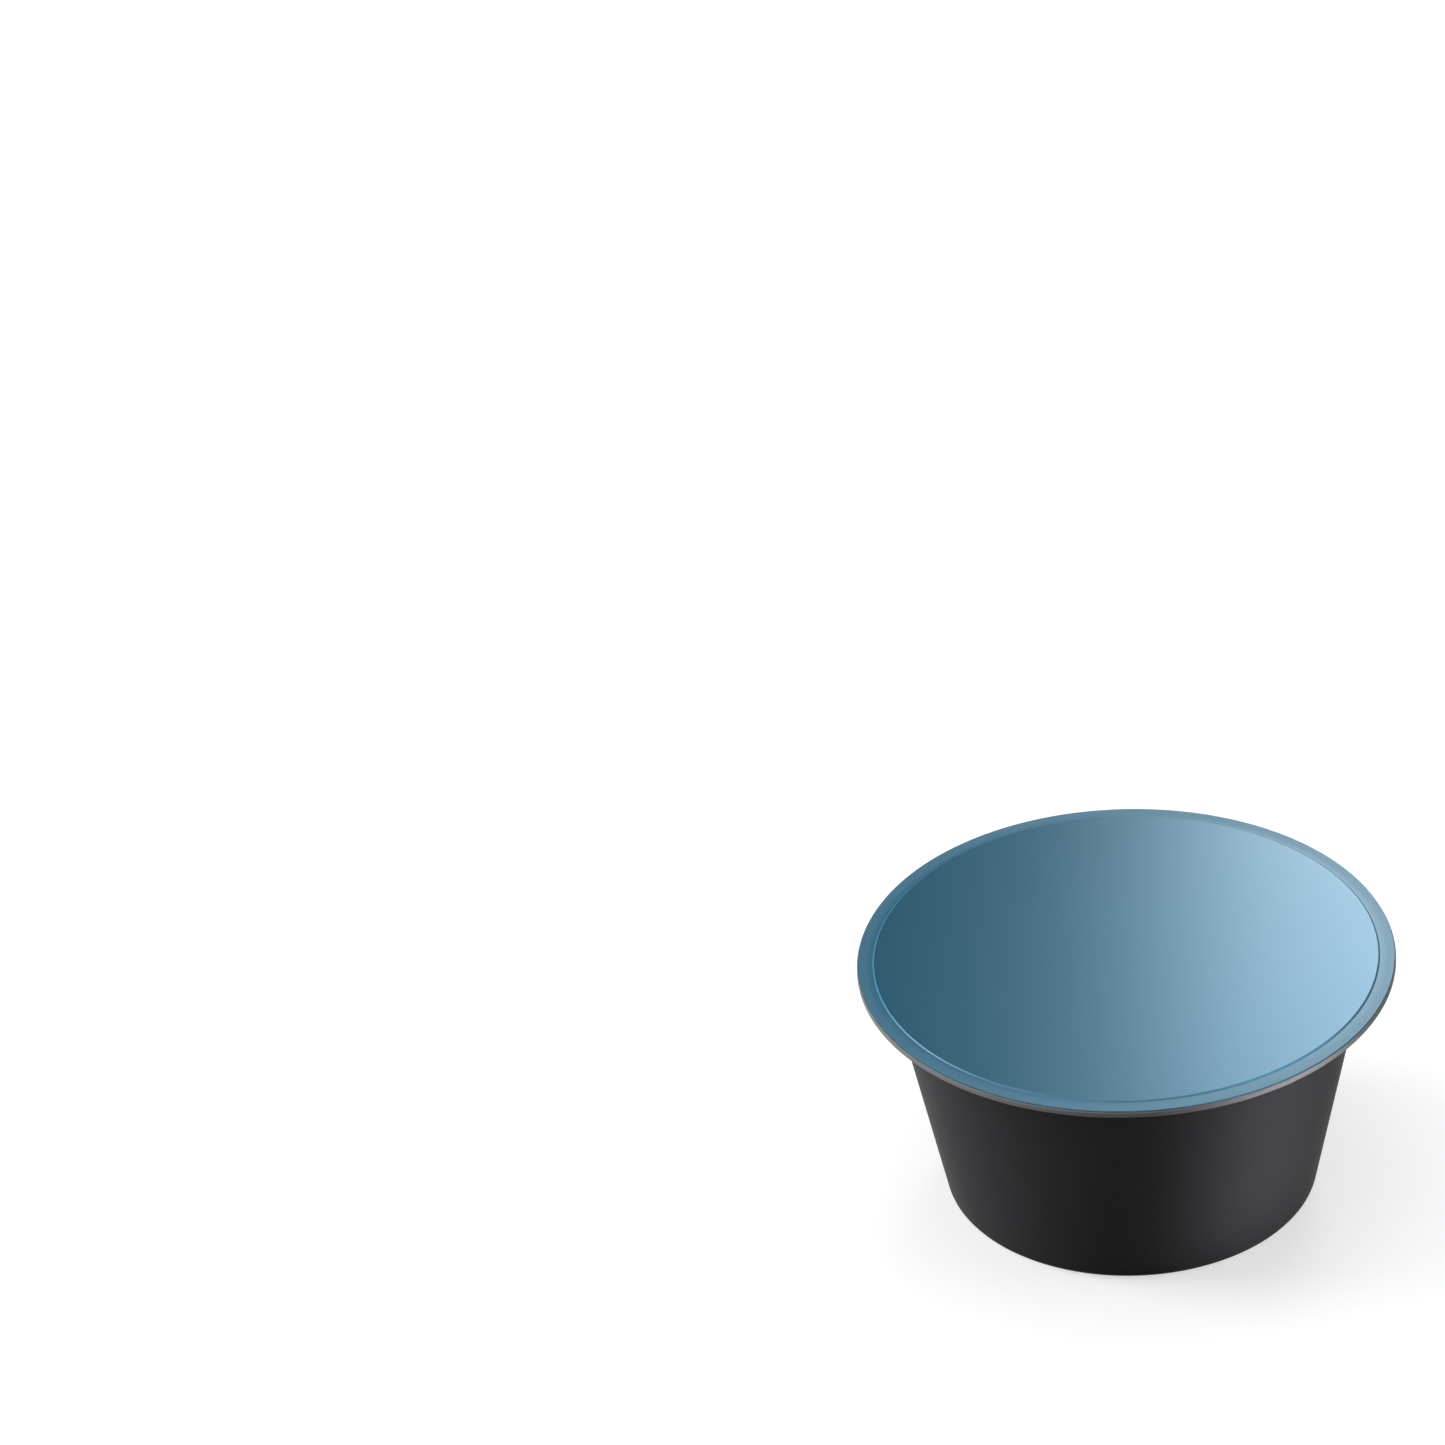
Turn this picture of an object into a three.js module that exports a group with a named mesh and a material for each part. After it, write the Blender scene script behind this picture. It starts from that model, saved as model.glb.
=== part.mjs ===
// Sealed single-serve coffee pod: a moulded plastic cup, filled, and closed by a heat-sealed film lid.
// Millimetres, +Z up. The origin is the centre of the plane that the cup stands on.
import * as THREE from "three";

// The cup's outer form
const bodyTopDiameter = 40.8; // across the wall where it runs into the flange
const baseDiameter = 31.9; // across the wall's line at the standing plane, before rounding
const cupHeight = 22.3; // standing plane to the sealing face of the flange
const baseEdgeRadius = 0.8; // rounding between the wall and the base

// The sealing flange, moulded in one with the cup
const flangeOverhang = 2.6; // from the wall to the flange's rim
const flangeThickness = 0.52;
const flangeRootRadius = 0.55; // fillet between the wall and the flange's underside
const rimRadius = 0.12; // rounding of both edges of the flange's rim

// The underside of the base: a standing ring round a shallow recess, with the gate at its centre
const standingRingWidth = 2.7; // radial width of the flat ring that the pod stands on
const recessDepth = 0.6;
const recessDraft = 0.35; // how far the recess wall leans in over its depth
const recessRadius = 0.3; // rounding at the recess wall's foot and lip
const gateWellDiameter = 4.2;
const gateWellDepth = 0.35; // deeper than the recess
const gateWellDraft = 0.2;
const gateNubDiameter = 1.3;
const gateNubHeight = 0.22; // stub left by the gate, standing in its well
const gateNubRadius = 0.1;

// The lid: one round of film, sealed flat to the flange and formed up to a slightly crowned panel
const filmThickness = 0.12;
const lidInset = 0.12; // from the flange's rim back to the film's cut edge
const sealBandWidth = 1.25; // flat band pressed on to the flange
const shoulderRun = 0.12; // radial run of the slope from the band to the panel
const panelRise = 0.12; // height of the panel's edge above the band
const panelCrown = 0.5; // further rise from the panel's edge to its centre
const shoulderRadius = 0.08; // rounding at the foot and the top of the slope

// Fineness of the faceted surfaces
const turnSegments = 96; // facets round the axis
const arcStep = THREE.MathUtils.degToRad(30); // most that one facet of a fillet turns
const crownSteps = 5; // facets from the panel's edge to its centre

const wallTopRadius = bodyTopDiameter / 2;
const flangeRadius = wallTopRadius + flangeOverhang;
const flangeUnderside = cupHeight - flangeThickness;
const lidRadius = flangeRadius - lidInset;

// A corner of a profile: its distance from the axis, its height, and the radius that rounds it.
function corner(radius, height, rounding = 0) {
  return { at: new THREE.Vector2(radius, height), rounding };
}

// The points of the tangent arc that rounds one corner between its neighbours.
function filletPoints(before, here, after) {
  const back = before.at.clone().sub(here.at);
  const ahead = after.at.clone().sub(here.at);
  const halfAngle = back.angleTo(ahead) / 2;
  const roomOnEdges = Math.min(back.length(), ahead.length()) / 2;
  const tangent = Math.min(here.rounding / Math.tan(halfAngle), roomOnEdges);
  const radius = tangent * Math.tan(halfAngle);
  back.normalize();
  ahead.normalize();
  const inward = back.clone().add(ahead).normalize();
  const centre = here.at.clone().addScaledVector(inward, radius / Math.sin(halfAngle));
  const start = here.at.clone().addScaledVector(back, tangent).sub(centre);
  const turn = Math.PI - 2 * halfAngle;
  const way = -Math.sign(back.cross(ahead));
  const steps = Math.max(1, Math.ceil(turn / arcStep));
  const points = [];
  for (let i = 0; i <= steps; i++) {
    const swept = start.clone().rotateAround(new THREE.Vector2(), (way * turn * i) / steps);
    points.push(swept.add(centre));
  }
  return points;
}

// The profile through a list of corners, with each rounded corner drawn as its arc.
function roundedProfile(corners) {
  return corners.flatMap((here, i) =>
    here.rounding > 0
      ? filletPoints(corners[i - 1], here, corners[i + 1])
      : [here.at],
  );
}

// A solid of revolution about +Z from a profile that starts and ends on the axis.
function turned(profile) {
  return new THREE.LatheGeometry(profile, turnSegments).rotateX(Math.PI / 2);
}

// The corners of the cup's underside, from the axis out to the standing ring.
function baseCorners() {
  const wallAngle = Math.atan2(bodyTopDiameter - baseDiameter, 2 * flangeUnderside);
  const edgeTangent = baseEdgeRadius * Math.tan((Math.PI / 2 - wallAngle) / 2);
  const recessLip = baseDiameter / 2 - edgeTangent - standingRingWidth;
  const wellLip = gateWellDiameter / 2;
  const wellFloor = recessDepth + gateWellDepth;
  const nubRadius = gateNubDiameter / 2;
  return [
    corner(0, wellFloor - gateNubHeight),
    corner(nubRadius, wellFloor - gateNubHeight, gateNubRadius),
    corner(nubRadius, wellFloor),
    corner(wellLip - gateWellDraft, wellFloor),
    corner(wellLip, recessDepth),
    corner(recessLip - recessDraft, recessDepth, recessRadius),
    corner(recessLip, 0, recessRadius),
  ];
}

// The cup with its contents: the sealed pack can't be seen into, so it is solid up to the sealing face.
function filledCup() {
  const profile = roundedProfile([
    ...baseCorners(),
    corner(baseDiameter / 2, 0, baseEdgeRadius),
    corner(wallTopRadius, flangeUnderside, flangeRootRadius),
    corner(flangeRadius, flangeUnderside, rimRadius),
    corner(flangeRadius, cupHeight, rimRadius),
    corner(0, cupHeight),
  ]);
  const plastic = new THREE.MeshStandardMaterial({
    color: 0x242428,
    roughness: 0.42,
    metalness: 0,
  });
  const mesh = new THREE.Mesh(turned(profile), plastic);
  mesh.name = "filled_cup";
  return mesh;
}

// One face of the formed film, from its cut edge to the axis, this far above the sealing face.
function filmFace(thickness) {
  const slope = Math.atan2(panelRise, shoulderRun);
  const shift = thickness * Math.tan(slope / 2); // keeps the film's thickness even round the shoulder
  const foot = lidRadius - sealBandWidth + shift;
  const panelRadius = foot - shoulderRun;
  const bandHeight = cupHeight + thickness;
  const panelHeight = bandHeight + panelRise;
  const sphereRadius = (panelRadius ** 2 + panelCrown ** 2) / (2 * panelCrown);
  const crown = [];
  for (let i = 1; i <= crownSteps; i++) {
    const radius = panelRadius * (1 - i / crownSteps);
    const drop = sphereRadius - Math.sqrt(sphereRadius ** 2 - radius ** 2);
    crown.push(corner(radius, panelHeight + panelCrown - drop));
  }
  return [
    corner(lidRadius, bandHeight),
    corner(foot, bandHeight, shoulderRadius),
    corner(panelRadius, panelHeight, shoulderRadius),
    ...crown,
  ];
}

// The film lid, sealed face to face with the flange.
function lidFilm() {
  const underside = filmFace(0).reverse();
  const topside = filmFace(filmThickness);
  const foil = new THREE.MeshStandardMaterial({
    color: 0x4a86a8,
    roughness: 0.36,
    metalness: 0.55,
  });
  const mesh = new THREE.Mesh(turned(roundedProfile([...underside, ...topside])), foil);
  mesh.name = "lid_film";
  return mesh;
}

const coffeePod = new THREE.Group();
coffeePod.name = "coffee_pod";
coffeePod.add(filledCup(), lidFilm());

export default coffeePod;
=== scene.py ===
import math

import bmesh
import bpy
from mathutils import Matrix, Vector


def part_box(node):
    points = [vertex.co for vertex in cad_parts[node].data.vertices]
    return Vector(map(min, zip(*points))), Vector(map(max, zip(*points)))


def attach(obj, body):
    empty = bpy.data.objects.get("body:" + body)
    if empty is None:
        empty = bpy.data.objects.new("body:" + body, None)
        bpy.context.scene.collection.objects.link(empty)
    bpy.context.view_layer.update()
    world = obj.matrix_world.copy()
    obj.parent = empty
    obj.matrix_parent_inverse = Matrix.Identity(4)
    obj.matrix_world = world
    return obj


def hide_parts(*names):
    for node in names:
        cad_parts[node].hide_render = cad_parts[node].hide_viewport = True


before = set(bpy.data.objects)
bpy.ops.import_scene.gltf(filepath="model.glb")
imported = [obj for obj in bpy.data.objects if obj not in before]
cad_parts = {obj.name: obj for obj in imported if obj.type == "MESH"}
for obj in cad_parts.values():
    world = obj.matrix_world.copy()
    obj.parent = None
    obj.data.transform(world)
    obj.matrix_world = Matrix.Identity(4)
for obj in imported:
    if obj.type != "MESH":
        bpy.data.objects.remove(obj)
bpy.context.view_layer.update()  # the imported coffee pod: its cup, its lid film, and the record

MM = 0.001
UP = Vector((0.0, 0.0, 1.0))

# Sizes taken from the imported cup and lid
cup_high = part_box("filled_cup")[1]
lid_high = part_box("lid_film")[1]
FLANGE_RADIUS = cup_high.x
CUP_HEIGHT = cup_high.z
LID_RADIUS = lid_high.x
LID_TOP = lid_high.z

# Sizes of the moulded cup
WALL_TOP_RADIUS = 20.4 * MM
WALL_FOOT_RADIUS = 15.95 * MM
FLANGE_THICKNESS = 0.52 * MM
FLANGE_ROOT_ROUND = 0.45 * MM
RIM_ROUND = 0.12 * MM
BASE_EDGE_ROUND = 0.65 * MM
RECESS_LIP_RADIUS = 12.6 * MM
RECESS_DRAFT = 0.35 * MM
RECESS_DEPTH = 0.6 * MM
RECESS_ROUND = 0.17 * MM
GATE_WELL_RADIUS = 2.1 * MM
GATE_WELL_DRAFT = 0.2 * MM
GATE_WELL_FLOOR = 0.95 * MM
GATE_NUB_RADIUS = 0.65 * MM
GATE_NUB_HEIGHT = 0.22 * MM
SMALL_ROUND = 0.08 * MM

# Sizes of the lid film
FILM_THICKNESS = 0.12 * MM
SEAL_BAND_WIDTH = 1.25 * MM
SHOULDER_RUN = 0.12 * MM
PANEL_RISE = 0.12 * MM
SHOULDER_ROUND = 0.05 * MM
SEAL_FOOT_RADIUS = LID_RADIUS - SEAL_BAND_WIDTH
PANEL_EDGE_RADIUS = SEAL_FOOT_RADIUS - SHOULDER_RUN

# Sizes of the plastic's texture, and how far the painted highlight round the flange's edge reaches inwards
GRAIN_SIZE = 0.16 * MM
GRAIN_DEPTH = 0.006 * MM
CLOUD_SIZE = 9.0 * MM
PAINTED_HIGHLIGHT_REACH = 0.09 * MM

# How much brighter than its lit colour the floor looks
FLOOR_GLOW = 0.65

# Fineness of the turned pieces
TURN_STEPS = 256
ROUND_SEGMENTS = 5


# Modelling: profiles in the XZ plane, turned about +Z


def profile_wire(corners):
    """A chain of edges through (radius, height, round) corners, each rounded by a bevel of that length."""
    bm = bmesh.new()
    verts = [bm.verts.new((radius, 0.0, height)) for radius, height, _ in corners]
    for before, after in zip(verts, verts[1:]):
        bm.edges.new((before, after))
    for vert, (_, _, length) in zip(verts, corners):
        if length:
            bmesh.ops.bevel(
                bm,
                geom=[vert],
                offset=length,
                offset_type="OFFSET",
                segments=ROUND_SEGMENTS,
                profile=0.5,
                affect="VERTICES",
                material=-1,
            )
    return bm


def divide_long_edges(bm, longest):
    """Cuts each edge of a profile that is longer than this into even lengths."""
    for edge in list(bm.edges):
        cuts = int(edge.calc_length() / longest)
        if cuts:
            bmesh.ops.subdivide_edges(bm, edges=[edge], cuts=cuts)


def turn_about_axis(bm):
    """Spins a profile through a full turn, closes its seam and poles, and points its faces outwards."""
    bmesh.ops.spin(
        bm,
        geom=bm.verts[:] + bm.edges[:],
        cent=(0.0, 0.0, 0.0),
        axis=UP,
        angle=math.tau,
        steps=TURN_STEPS,
        use_merge=True,
        use_duplicate=False,
    )
    bmesh.ops.remove_doubles(bm, verts=bm.verts, dist=0.0005 * MM)
    bmesh.ops.recalc_face_normals(bm, faces=bm.faces)


def piece_from(bm, name, material):
    """A smooth-shaded object at the origin from a finished bmesh."""
    mesh = bpy.data.meshes.new(name)
    bm.to_mesh(mesh)
    bm.free()
    mesh.shade_smooth()
    mesh.set_sharp_from_angle(angle=math.radians(50.0))
    mesh.materials.append(material)
    piece = bpy.data.objects.new(name, mesh)
    bpy.context.scene.collection.objects.link(piece)
    return piece


def keep_flats_flat(piece):
    """Weights the shading by face area, so that wide flat faces stay flat beside narrow rounded ones."""
    weighted = piece.modifiers.new("flat faces", "WEIGHTED_NORMAL")
    weighted.weight = 90
    weighted.keep_sharp = True


# Materials


def new_material(name):
    """A node material with its Principled shader and an output, and nothing else."""
    material = bpy.data.materials.new(name)
    material.use_nodes = True
    tree = material.node_tree
    tree.nodes.clear()
    shader = tree.nodes.new("ShaderNodeBsdfPrincipled")
    output = tree.nodes.new("ShaderNodeOutputMaterial")
    tree.links.new(shader.outputs["BSDF"], output.inputs["Surface"])
    return material, tree, shader


def new_group(name, inputs, outputs):
    """An empty shader node group with named float inputs and outputs."""
    group = bpy.data.node_groups.new(name, "ShaderNodeTree")
    for label in inputs:
        group.interface.new_socket(name=label, in_out="INPUT", socket_type="NodeSocketFloat")
    for label in outputs:
        group.interface.new_socket(name=label, in_out="OUTPUT", socket_type="NodeSocketFloat")
    return group, group.nodes.new("NodeGroupInput"), group.nodes.new("NodeGroupOutput")


def place_group(tree, group, **values):
    """One use of a group in a material, with its own values."""
    node = tree.nodes.new("ShaderNodeGroup")
    node.node_tree = group
    for label, value in values.items():
        node.inputs[label.replace("_", " ")].default_value = value
    return node


def arithmetic(tree, operation, first, second):
    """A Math node of two values, each a socket or a number."""
    node = tree.nodes.new("ShaderNodeMath")
    node.operation = operation
    for socket, value in zip(node.inputs, (first, second)):
        if isinstance(value, (int, float)):
            socket.default_value = value
        else:
            tree.links.new(value, socket)
    return node.outputs["Value"]


def between(tree, factor, low, high):
    """A value that runs from low to high as the factor runs from 0 to 1, never outside them."""
    node = tree.nodes.new("ShaderNodeMapRange")
    node.inputs["To Min"].default_value = low
    node.inputs["To Max"].default_value = high
    tree.links.new(factor, node.inputs["Value"])
    return node.outputs["Result"]


def colour_between(tree, factor, first, second):
    """A colour mixed from two, each a socket or a linear RGB colour."""
    node = tree.nodes.new("ShaderNodeMix")
    node.data_type = "RGBA"
    tree.links.new(factor, node.inputs["Factor"])
    for socket, colour in ((node.inputs["A"], first), (node.inputs["B"], second)):
        if isinstance(colour, tuple):
            socket.default_value = (*colour, 1.0)
        else:
            tree.links.new(colour, socket)
    return node.outputs["Result"]


def build_radius_band():
    """Mask that is 1 between two distances from the pod's axis, with soft edges."""
    group, given, result = new_group("radius band", ["Inner", "Outer", "Softness"], ["Mask"])
    links = group.links
    place = group.nodes.new("ShaderNodeTexCoord")
    split = group.nodes.new("ShaderNodeSeparateXYZ")
    links.new(place.outputs["Object"], split.inputs["Vector"])
    across = arithmetic(group, "MULTIPLY", split.outputs["X"], split.outputs["X"])
    along = arithmetic(group, "MULTIPLY", split.outputs["Y"], split.outputs["Y"])
    squared = arithmetic(group, "ADD", across, along)
    radius = arithmetic(group, "SQRT", squared, 0.0)
    masks = []
    for label, to_min, to_max in (("Inner", 0.0, 1.0), ("Outer", 1.0, 0.0)):
        edge = group.nodes.new("ShaderNodeMapRange")
        edge.interpolation_type = "SMOOTHSTEP"
        edge.inputs["To Min"].default_value = to_min
        edge.inputs["To Max"].default_value = to_max
        links.new(radius, edge.inputs["Value"])
        start = arithmetic(group, "SUBTRACT", given.outputs[label], given.outputs["Softness"])
        end = arithmetic(group, "ADD", given.outputs[label], given.outputs["Softness"])
        links.new(start, edge.inputs["From Min"])
        links.new(end, edge.inputs["From Max"])
        masks.append(edge.outputs["Result"])
    links.new(arithmetic(group, "MULTIPLY", masks[0], masks[1]), result.inputs["Mask"])
    return group


def build_noise_of_size():
    """Noise whose spots are about this wide, with finer noise on them by Detail."""
    group, given, result = new_group("noise of size", ["Size", "Detail"], ["Noise"])
    links = group.links
    place = group.nodes.new("ShaderNodeTexCoord")
    noise = group.nodes.new("ShaderNodeTexNoise")
    links.new(place.outputs["Object"], noise.inputs["Vector"])
    links.new(arithmetic(group, "DIVIDE", 1.0, given.outputs["Size"]), noise.inputs["Scale"])
    links.new(given.outputs["Detail"], noise.inputs["Detail"])
    links.new(noise.outputs["Fac"], result.inputs["Noise"])
    return group


radius_band = build_radius_band()
noise_of_size = build_noise_of_size()


def grain_bump(tree, shader, height, depth, strength):
    """A bump that presses a height pattern this deep into the shader's surface."""
    bump = tree.nodes.new("ShaderNodeBump")
    bump.inputs["Strength"].default_value = strength
    bump.inputs["Distance"].default_value = depth
    tree.links.new(height, bump.inputs["Height"])
    tree.links.new(bump.outputs["Normal"], shader.inputs["Normal"])


def moulded_plastic():
    """Near-black satin plastic with a fine moulded texture, and a highlight painted as a pale grey,
    rougher band round the flange's edge.
    """
    material, tree, shader = new_material("moulded plastic")
    grain = place_group(tree, noise_of_size, Size=GRAIN_SIZE, Detail=1.5)
    clouds = place_group(tree, noise_of_size, Size=CLOUD_SIZE, Detail=2.0)
    # Painted highlight: a pale grey band round the flange's edge stands in for the light that its rounded
    # edge catches; the band is also made rougher.
    highlight_inner_radius = FLANGE_RADIUS - PAINTED_HIGHLIGHT_REACH
    rim_highlight_mask = place_group(tree, radius_band, Inner=highlight_inner_radius, Outer=1.0, Softness=0.02 * MM)
    dark = (0.036, 0.0363, 0.039)
    darker = (0.03, 0.0303, 0.033)
    painted_highlight_grey = (0.2, 0.196, 0.2)
    body = colour_between(tree, clouds.outputs["Noise"], darker, dark)
    tree.links.new(colour_between(tree, rim_highlight_mask.outputs["Mask"], body, painted_highlight_grey), shader.inputs["Base Color"])
    cloudy = between(tree, clouds.outputs["Noise"], 0.44, 0.54)
    rough = arithmetic(tree, "ADD", cloudy, arithmetic(tree, "MULTIPLY", rim_highlight_mask.outputs["Mask"], 0.15))
    tree.links.new(rough, shader.inputs["Roughness"])
    shader.inputs["Specular IOR Level"].default_value = 0.02
    grain_bump(tree, shader, grain.outputs["Noise"], GRAIN_DEPTH, 0.4)
    return material


def lacquered_foil():
    """Aluminium film under clear blue lacquer: duller on the pressed seal, and with painted light along
    the fold, where a paler blue with less metal and coat lifts its shade.
    """
    material, tree, shader = new_material("lacquered foil")
    clouds = place_group(tree, noise_of_size, Size=CLOUD_SIZE, Detail=2.0)
    soft_edge = 0.03 * MM
    seal_start = PANEL_EDGE_RADIUS + 0.02 * MM
    fold_end = SEAL_FOOT_RADIUS + 0.03 * MM
    seal = place_group(tree, radius_band, Inner=seal_start, Outer=1.0, Softness=soft_edge)
    fold = place_group(tree, radius_band, Inner=PANEL_EDGE_RADIUS, Outer=fold_end, Softness=soft_edge)
    light_blue = (0.005, 0.129, 0.222)
    deep_blue = (0.004, 0.125, 0.215)
    # Painted light along the fold: this paler blue, with less metal and coat below, lifts the shade that
    # the fold's slope takes.
    fold_painted_light_blue = (0.045, 0.19, 0.305)
    flat_blue = colour_between(tree, clouds.outputs["Noise"], deep_blue, light_blue)
    blue = colour_between(tree, fold.outputs["Mask"], flat_blue, fold_painted_light_blue)
    tree.links.new(blue, shader.inputs["Base Color"])
    cloudy = between(tree, clouds.outputs["Noise"], 0.28, 0.29)
    rough = arithmetic(tree, "ADD", cloudy, arithmetic(tree, "MULTIPLY", seal.outputs["Mask"], 0.15))
    tree.links.new(rough, shader.inputs["Roughness"])
    # Less coat and metal on the fold, as part of the painted light there.
    tree.links.new(between(tree, fold.outputs["Mask"], 1.0, 0.1), shader.inputs["Coat Weight"])
    tree.links.new(between(tree, fold.outputs["Mask"], 0.5, 0.0), shader.inputs["Metallic"])
    shader.inputs["Coat Roughness"].default_value = 0.28
    return material


# Pieces


def make_cup():
    """The cup's whole outside: gate well, recess, standing ring, wall, flange and sealing face."""
    flange_underside = CUP_HEIGHT - FLANGE_THICKNESS
    nub_top = GATE_WELL_FLOOR - GATE_NUB_HEIGHT
    bm = profile_wire([
        (0.0, nub_top, 0.0),
        (GATE_NUB_RADIUS, nub_top, SMALL_ROUND),
        (GATE_NUB_RADIUS, GATE_WELL_FLOOR, SMALL_ROUND),
        (GATE_WELL_RADIUS - GATE_WELL_DRAFT, GATE_WELL_FLOOR, SMALL_ROUND),
        (GATE_WELL_RADIUS, RECESS_DEPTH, SMALL_ROUND),
        (RECESS_LIP_RADIUS - RECESS_DRAFT, RECESS_DEPTH, RECESS_ROUND),
        (RECESS_LIP_RADIUS, 0.0, RECESS_ROUND),
        (WALL_FOOT_RADIUS, 0.0, BASE_EDGE_ROUND),
        (WALL_TOP_RADIUS, flange_underside, FLANGE_ROOT_ROUND),
        (FLANGE_RADIUS, flange_underside, RIM_ROUND),
        (FLANGE_RADIUS, CUP_HEIGHT, RIM_ROUND),
        (0.0, CUP_HEIGHT, 0.0),
    ])
    divide_long_edges(bm, 2.0 * MM)
    turn_about_axis(bm)
    cup = piece_from(bm, "moulded_cup", moulded_plastic())
    keep_flats_flat(cup)
    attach(cup, "root")
    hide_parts("filled_cup")


def make_lid():
    """The foil lid: sealed band, sloped shoulder and crowned panel, with the film's thickness below."""
    band_top = CUP_HEIGHT + FILM_THICKNESS
    panel_edge_top = band_top + PANEL_RISE
    crown = LID_TOP - panel_edge_top
    sphere_radius = (PANEL_EDGE_RADIUS**2 + crown**2) / (2.0 * crown)
    bm = profile_wire([
        (LID_RADIUS, band_top, 0.0),
        (SEAL_FOOT_RADIUS, band_top, SHOULDER_ROUND),
        (PANEL_EDGE_RADIUS, panel_edge_top, SHOULDER_ROUND),
        (0.0, panel_edge_top, 0.0),
    ])
    divide_long_edges(bm, 1.0 * MM)
    for vert in bm.verts:
        if vert.co.x < PANEL_EDGE_RADIUS and vert.co.z > panel_edge_top - 0.001 * MM:
            drop = sphere_radius - math.sqrt(sphere_radius**2 - vert.co.x**2)
            vert.co.z = panel_edge_top + crown - drop
    turn_about_axis(bm)
    bmesh.ops.solidify(bm, geom=bm.faces[:], thickness=FILM_THICKNESS)
    bmesh.ops.recalc_face_normals(bm, faces=bm.faces)
    lid = piece_from(bm, "foil_lid", lacquered_foil())
    keep_flats_flat(lid)
    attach(lid, "root")
    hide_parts("lid_film")


# The studio: camera, floor, lamps and world


def place_camera():
    """The photograph's viewpoint, fitted to the pod's outline: a long lens above and in front."""
    distance = 671.5 * MM
    pitch = math.radians(32.47)
    roll = math.radians(-3.44)
    aim = Vector((-33.18 * MM, 0.0, 48.44 * MM))
    back = Vector((0.0, -math.cos(pitch), math.sin(pitch)))
    turn = Matrix.Rotation(roll, 4, back)
    data = bpy.data.cameras.new("camera")
    data.lens = 200.0
    data.sensor_width = 36.0
    camera = bpy.data.objects.new("camera", data)
    facing = back.to_track_quat("Z", "Y").to_matrix().to_4x4()
    camera.matrix_world = Matrix.Translation(aim + back * distance) @ turn @ facing
    bpy.context.scene.collection.objects.link(camera)
    bpy.context.scene.camera = camera


def lay_floor():
    """A wide pale floor that keeps the pod's shadow, a little brighter to the camera and to gloss."""
    material, tree, shader = new_material("pale floor")
    shader.inputs["Base Color"].default_value = (0.45, 0.45, 0.45, 1.0)
    shader.inputs["Roughness"].default_value = 0.9
    shader.inputs["Specular IOR Level"].default_value = 0.1
    shader.inputs["Emission Color"].default_value = (1.0, 1.0, 1.0, 1.0)
    ray = tree.nodes.new("ShaderNodeLightPath")
    seen = arithmetic(tree, "ADD", ray.outputs["Is Camera Ray"], ray.outputs["Is Glossy Ray"])
    seen = arithmetic(tree, "ADD", seen, ray.outputs["Is Transmission Ray"])
    tree.links.new(arithmetic(tree, "MULTIPLY", seen, FLOOR_GLOW), shader.inputs["Emission Strength"])
    bm = bmesh.new()
    bmesh.ops.create_circle(bm, cap_ends=True, radius=3.0, segments=64)
    bmesh.ops.translate(bm, verts=bm.verts, vec=(0.0, 0.0, -0.02 * MM))
    floor = piece_from(bm, "floor", material)


def upright_lamp(name, aim, azimuth, distance, bottom, top, width):
    """The data of an upright lamp that faces a point. Azimuth is in degrees from +Y towards +X."""
    turn = math.radians(azimuth)
    outwards = Vector((math.sin(turn), math.cos(turn), 0.0))
    data = bpy.data.lights.new(name, "AREA")
    data.shape = "RECTANGLE"
    data.size = width
    data.size_y = top - bottom
    lamp = bpy.data.objects.new(name, data)
    place = aim + outwards * distance + UP * (top + bottom) / 2.0
    facing = outwards.to_track_quat("Z", "Y").to_matrix().to_4x4()
    lamp.matrix_world = Matrix.Translation(place) @ facing
    bpy.context.scene.collection.objects.link(lamp)
    return data


def softbox(name, azimuth, distance, bottom, top, width, radiance):
    """A soft lamp that faces the pod's axis."""
    data = upright_lamp(name, Vector(), azimuth, distance, bottom, top, width)
    data.energy = radiance * width * (top - bottom) * math.pi


def gridded_strip(name, aim, azimuth, distance, bottom, top, width, spread, power):
    """A narrow lamp behind a grid, which keeps its light within a few degrees of straight ahead."""
    data = upright_lamp(name, aim, azimuth, distance, bottom, top, width)
    data.spread = math.radians(spread)
    data.energy = power


def overhead(name, height, width, radiance):
    """A square soft lamp straight above the pod."""
    data = bpy.data.lights.new(name, "AREA")
    data.shape = "SQUARE"
    data.size = width
    data.energy = radiance * width * width * math.pi
    lamp = bpy.data.objects.new(name, data)
    lamp.location = UP * height
    bpy.context.scene.collection.objects.link(lamp)


def light_studio():
    """A panel that the lid mirrors, three lamps that model the dark wall, and one above it all."""
    world = bpy.data.worlds.new("studio")
    world.use_nodes = True
    background = world.node_tree.nodes["Background"]
    background.inputs["Color"].default_value = (1.0, 1.0, 1.0, 1.0)
    background.inputs["Strength"].default_value = 0.03
    bpy.context.scene.world = world
    softbox("back panel", azimuth=17.7, distance=0.6, bottom=0.2, top=0.78, width=0.25, radiance=4.25)
    softbox("left side", azimuth=-80.0, distance=0.5, bottom=0.01, top=0.46, width=0.3, radiance=9.0)
    softbox("right side", azimuth=95.0, distance=0.5, bottom=0.01, top=0.46, width=0.3, radiance=1.7)
    gridded_strip(
        "front right grid",
        aim=Vector((10.6 * MM, -14.0 * MM, 0.0)),
        azimuth=156.0,
        distance=0.35,
        bottom=0.0,
        top=0.1,
        width=0.01,
        spread=3.2,
        power=0.0052,
    )
    overhead("overhead", height=0.9, width=0.8, radiance=2.3)


make_cup()
make_lid()
place_camera()
lay_floor()
light_studio()
bpy.context.scene.view_settings.view_transform = "Standard"
